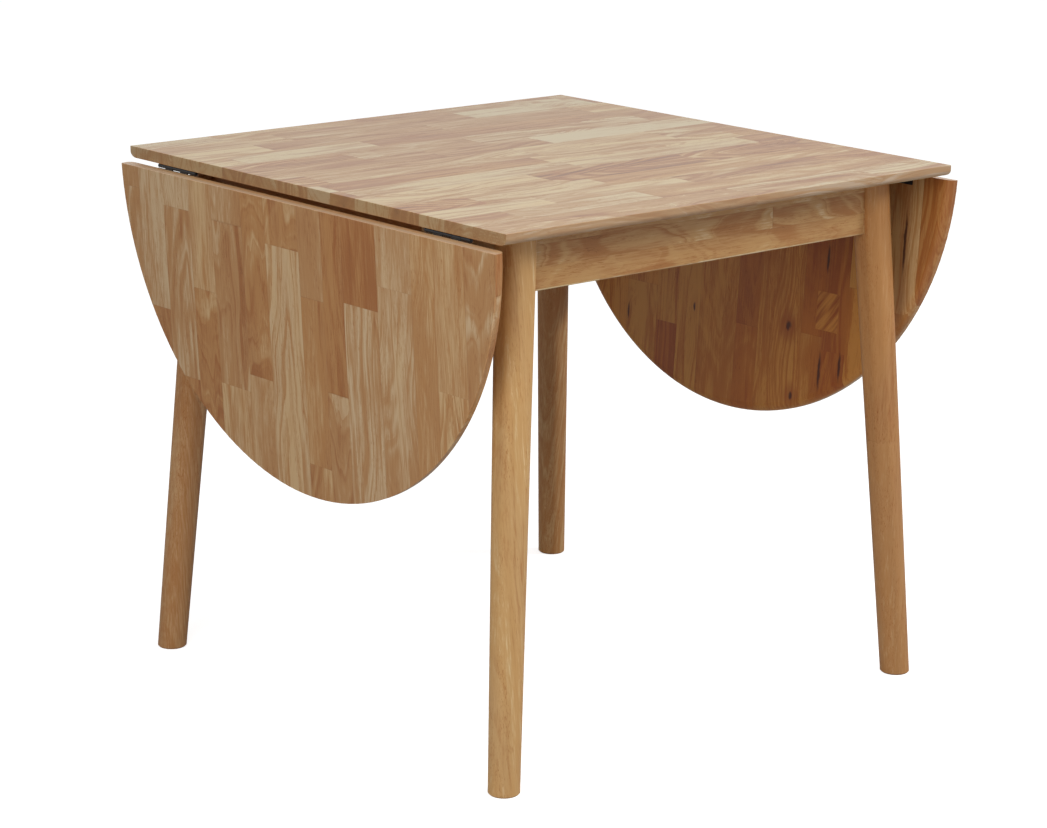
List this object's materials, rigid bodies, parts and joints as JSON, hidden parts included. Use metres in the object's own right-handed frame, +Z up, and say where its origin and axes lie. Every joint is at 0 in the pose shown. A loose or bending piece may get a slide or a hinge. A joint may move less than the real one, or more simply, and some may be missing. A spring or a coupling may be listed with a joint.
{
  "type": "drop leaf table",
  "caption": "Square wooden table on splayed round legs, with rounded drop leaves on butt hinges at opposite edges and folding stays that carry the raised leaves.",
  "frame": {"origin": "on the floor, under the middle of the fixed top", "axes": "+X across the two hinge lines (right), +Y along the hinge lines (rear), +Z up"},
  "size_m": [0.854, 0.822, 0.75],
  "materials": {
    "board": "clear satin varnish on finger-jointed rubberwood",
    "rail": "clear satin varnish on finger-jointed rubberwood",
    "leg": "clear satin varnish on plain rubberwood",
    "block": "unfinished rubberwood",
    "hinge": "black, satin",
    "stay": "black, satin",
    "black_screw": "black, satin",
    "zinc_steel": "zinc plated"
  },
  "bodies": {
    "frame": {"block_screws": "zinc_steel", "bolt_nuts": "zinc_steel", "bolt_washers": "zinc_steel", "front_cleat": "block", "front_end_rail": "rail", "hanger_bolts": "zinc_steel", "hinge_top_screws": "black_screw", "left_cleat": "block", "left_front_corner_block": "block", "left_front_hinge_pin": "hinge", "left_front_hinge_top_plate": "hinge", "left_front_leg": "leg", "left_front_stay_bracket": "stay", "left_rear_corner_block": "block", "left_rear_hinge_pin": "hinge", "left_rear_hinge_top_plate": "hinge", "left_rear_leg": "leg", "left_rear_stay_bracket": "stay", "left_side_rail": "rail", "rear_cleat": "block", "rear_end_rail": "rail", "right_cleat": "block", "right_front_corner_block": "block", "right_front_hinge_pin": "hinge", "right_front_hinge_top_plate": "hinge", "right_front_leg": "leg", "right_front_stay_bracket": "stay", "right_rear_corner_block": "block", "right_rear_hinge_pin": "hinge", "right_rear_hinge_top_plate": "hinge", "right_rear_leg": "leg", "right_rear_stay_bracket": "stay", "right_side_rail": "rail", "stay_bracket_screws": "black_screw", "stay_rivets": "zinc_steel", "top_panel": "board", "top_screws": "zinc_steel"},
    "left_leaf": {"left_front_hinge_leaf_plate": "hinge", "left_front_stay_track": "stay", "left_leaf": "board", "left_leaf_hinge_screws": "black_screw", "left_rear_hinge_leaf_plate": "hinge", "left_rear_stay_track": "stay", "left_stay_track_screws": "black_screw"},
    "left_front_stay": {"left_front_stay_arm": "stay", "left_front_stay_stud": "zinc_steel"},
    "left_rear_stay": {"left_rear_stay_arm": "stay", "left_rear_stay_stud": "zinc_steel"},
    "right_leaf": {"right_front_hinge_leaf_plate": "hinge", "right_front_stay_track": "stay", "right_leaf": "board", "right_leaf_hinge_screws": "black_screw", "right_rear_hinge_leaf_plate": "hinge", "right_rear_stay_track": "stay", "right_stay_track_screws": "black_screw"},
    "right_front_stay": {"right_front_stay_arm": "stay", "right_front_stay_stud": "zinc_steel"},
    "right_rear_stay": {"right_rear_stay_arm": "stay", "right_rear_stay_stud": "zinc_steel"}
  },
  "joints": [
    {"name": "left_leaf_hinge", "type": "hinge", "parent": "frame", "child": "left_leaf", "pos_m": [-0.4084, 0, 0.731], "axis": [0, 1, 0], "range_deg": [0, 93.4]},
    {"name": "right_leaf_hinge", "type": "hinge", "parent": "frame", "child": "right_leaf", "pos_m": [0.4084, 0, 0.731], "axis": [0, -1, 0], "range_deg": [0, 93.4]},
    {"name": "left_front_stay_pivot", "type": "hinge", "parent": "frame", "child": "left_front_stay", "pos_m": [-0.376, -0.288, 0.681], "axis": [0, 1, 0], "range_deg": [0, 102.09]},
    {"name": "left_rear_stay_pivot", "type": "hinge", "parent": "frame", "child": "left_rear_stay", "pos_m": [-0.376, 0.288, 0.681], "axis": [0, 1, 0], "range_deg": [0, 102.09]},
    {"name": "right_front_stay_pivot", "type": "hinge", "parent": "frame", "child": "right_front_stay", "pos_m": [0.376, -0.288, 0.681], "axis": [0, -1, 0], "range_deg": [0, 102.09]},
    {"name": "right_rear_stay_pivot", "type": "hinge", "parent": "frame", "child": "right_rear_stay", "pos_m": [0.376, 0.288, 0.681], "axis": [0, -1, 0], "range_deg": [0, 102.09]}
  ],
  "couplings": [
    {"joint": "left_front_stay_pivot", "follows": "left_leaf_hinge", "ratio": 1.0929},
    {"joint": "left_rear_stay_pivot", "follows": "left_leaf_hinge", "ratio": 1.0929},
    {"joint": "right_front_stay_pivot", "follows": "right_leaf_hinge", "ratio": 1.0929},
    {"joint": "right_rear_stay_pivot", "follows": "right_leaf_hinge", "ratio": 1.0929}
  ]
}
